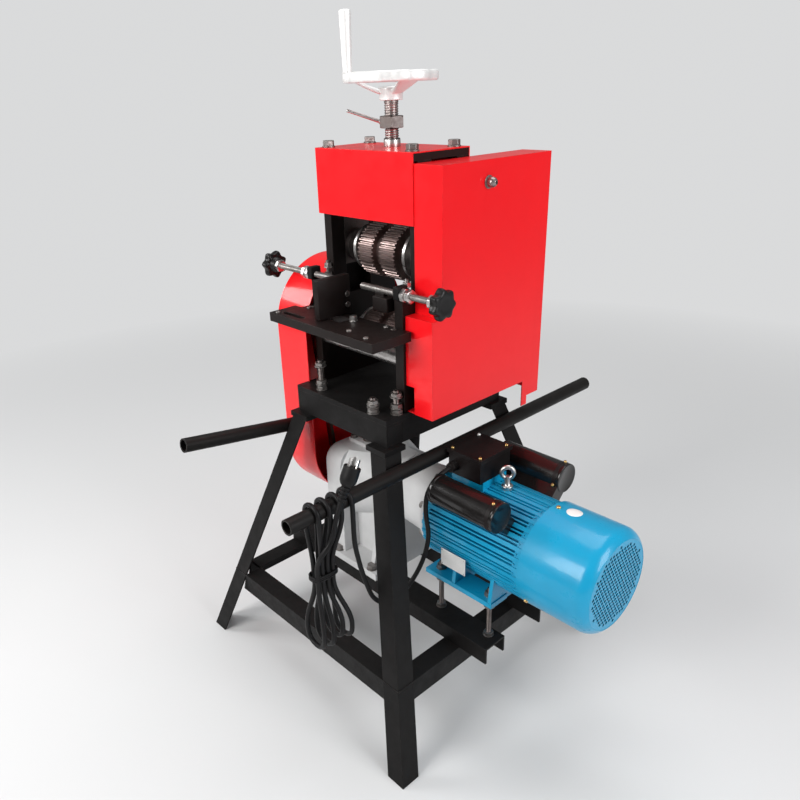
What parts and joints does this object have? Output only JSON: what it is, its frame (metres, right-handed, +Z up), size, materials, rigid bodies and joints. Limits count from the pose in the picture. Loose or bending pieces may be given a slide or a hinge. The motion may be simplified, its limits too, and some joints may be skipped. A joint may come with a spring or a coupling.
{
  "type": "electric wire stripping machine",
  "caption": "Electric wire stripping machine: two toothed rollers on a splayed stand, driven by a geared motor, with a handwheel that sets the upper roller.",
  "frame": {"origin": "middle of the footprint's bounding box on the floor, with the supply cord left out", "axes": "+X along the roller shafts towards the motor's fan, +Y from the feed side to the rear, +Z up"},
  "size_m": [0.843, 0.844, 1.2863],
  "materials": {
    "frame_paint": "semi-gloss",
    "red_paint": "gloss",
    "motor_paint": "gloss",
    "reducer_paint": "satin",
    "steel": "machined",
    "chain_steel": "oiled",
    "wheel_aluminium": "satin",
    "black_plastic": "moulded",
    "cord_rubber": "matte"
  },
  "bodies": {
    "stand_and_head": {"base_plate": "frame_paint", "beam_front": "frame_paint", "beam_left": "frame_paint", "beam_rear": "frame_paint", "beam_right": "frame_paint", "capacitor_front": "black_plastic", "capacitor_rear": "black_plastic", "cord_hank": "cord_rubber", "drive_chain": "chain_steel", "fan_cowl": "motor_paint", "fasteners": "steel", "feed_table": "frame_paint", "head_cover": "red_paint", "gear_reducer": "reducer_paint", "guide_lug_left": "frame_paint", "guide_lug_right": "frame_paint", "handle_front": "frame_paint", "handle_rear": "frame_paint", "hank_tie": "black_plastic", "left_guard": "red_paint", "leg_front_left": "frame_paint", "leg_front_right": "frame_paint", "leg_rear_left": "frame_paint", "leg_rear_right": "frame_paint", "motor_body": "motor_paint", "plug": "cord_rubber", "plug_lead": "cord_rubber", "pole_right": "frame_paint", "rail_front": "frame_paint", "rail_rear": "frame_paint", "right_cover": "red_paint", "ring_front": "frame_paint", "ring_left": "frame_paint", "ring_rear": "frame_paint", "ring_right": "frame_paint", "side_plate_left": "frame_paint", "side_plate_right": "frame_paint", "supply_cord": "cord_rubber", "terminal_box": "black_plastic", "tie_bar": "frame_paint", "top_plate": "frame_paint", "transfer_chain": "chain_steel"},
    "lower_roller": {"lower_shaft": "steel", "roller_lower": "steel"},
    "countershaft": {"counter_shaft": "steel"},
    "crosshead": {"crosshead": "frame_paint"},
    "upper_roller": {"upper_shaft": "steel", "roller_upper": "steel"},
    "feed_screw": {"feed_screw": "steel", "handwheel": "wheel_aluminium"},
    "wheel_grip": {"wheel_grip": "wheel_aluminium"},
    "lock_nut": {"lock_nut": "steel"},
    "output_shaft": {"output_shaft": "steel"},
    "motor_fan": {"motor_fan": "black_plastic"},
    "guide_left": {"guide_block_left": "frame_paint"},
    "guide_right": {"guide_block_right": "frame_paint"},
    "guide_screw_left": {"guide_screw_left": "steel", "guide_knob_left": "black_plastic"},
    "guide_screw_right": {"guide_screw_right": "steel", "guide_knob_right": "black_plastic"}
  },
  "joints": [
    {"name": "lower_roller_turn", "type": "hinge", "parent": "stand_and_head", "child": "lower_roller", "pos_m": [-0.0995, -0.014, 0.72], "axis": [1, 0, 0], "continuous": true},
    {"name": "countershaft_turn", "type": "hinge", "parent": "stand_and_head", "child": "countershaft", "pos_m": [0.0505, 0.09061, 0.854], "axis": [1, 0, 0], "continuous": true},
    {"name": "crosshead_travel", "type": "slide", "parent": "stand_and_head", "child": "crosshead", "axis": [0, 0, 1], "range_m": [-0.0245, 0], "deforming": ["transfer_chain"]},
    {"name": "upper_roller_turn", "type": "hinge", "parent": "crosshead", "child": "upper_roller", "pos_m": [-0.0995, -0.014, 0.884], "axis": [1, 0, 0], "continuous": true},
    {"name": "handwheel_turn", "type": "hinge", "parent": "crosshead", "child": "feed_screw", "pos_m": [-0.0995, -0.014, 1.1], "axis": [0, 0, 1], "range_deg": [-2200, 0]},
    {"name": "wheel_grip_spin", "type": "hinge", "parent": "feed_screw", "child": "wheel_grip", "pos_m": [-0.14997, -0.06812, 1.24], "axis": [0, 0, 1], "continuous": true},
    {"name": "lock_nut_turn", "type": "hinge", "parent": "stand_and_head", "child": "lock_nut", "pos_m": [-0.0995, -0.014, 1.11], "axis": [0, 0, 1], "range_deg": [-60, 60]},
    {"name": "output_shaft_turn", "type": "hinge", "parent": "stand_and_head", "child": "output_shaft", "pos_m": [-0.2495, -0.014, 0.388], "axis": [1, 0, 0], "continuous": true},
    {"name": "motor_fan_turn", "type": "hinge", "parent": "stand_and_head", "child": "motor_fan", "pos_m": [0.3005, -0.014, 0.388], "axis": [1, 0, 0], "continuous": true},
    {"name": "guide_left_travel", "type": "slide", "parent": "stand_and_head", "child": "guide_left", "axis": [-1, 0, 0], "range_m": [-0.02, 0.007]},
    {"name": "guide_right_travel", "type": "slide", "parent": "stand_and_head", "child": "guide_right", "axis": [1, 0, 0], "range_m": [-0.02, 0.007]},
    {"name": "guide_knob_left_turn", "type": "hinge", "parent": "guide_left", "child": "guide_screw_left", "pos_m": [-0.2495, -0.117, 0.841], "axis": [-1, 0, 0], "range_deg": [-4110, 1435]},
    {"name": "guide_knob_right_turn", "type": "hinge", "parent": "guide_right", "child": "guide_screw_right", "pos_m": [0.0505, -0.117, 0.841], "axis": [1, 0, 0], "range_deg": [-4110, 1435]}
  ],
  "couplings": [
    {"joint": "countershaft_turn", "follows": "lower_roller_turn", "ratio": -1},
    {"joint": "upper_roller_turn", "follows": "lower_roller_turn", "ratio": -1},
    {"joint": "output_shaft_turn", "follows": "lower_roller_turn", "ratio": 2},
    {"joint": "motor_fan_turn", "follows": "lower_roller_turn", "ratio": 50},
    {"joint": "crosshead_travel", "follows": "handwheel_turn", "m_per_rad": 0.00063662},
    {"joint": "guide_left_travel", "follows": "guide_knob_left_turn", "m_per_rad": 0.00027852},
    {"joint": "guide_right_travel", "follows": "guide_knob_right_turn", "m_per_rad": 0.00027852}
  ]
}
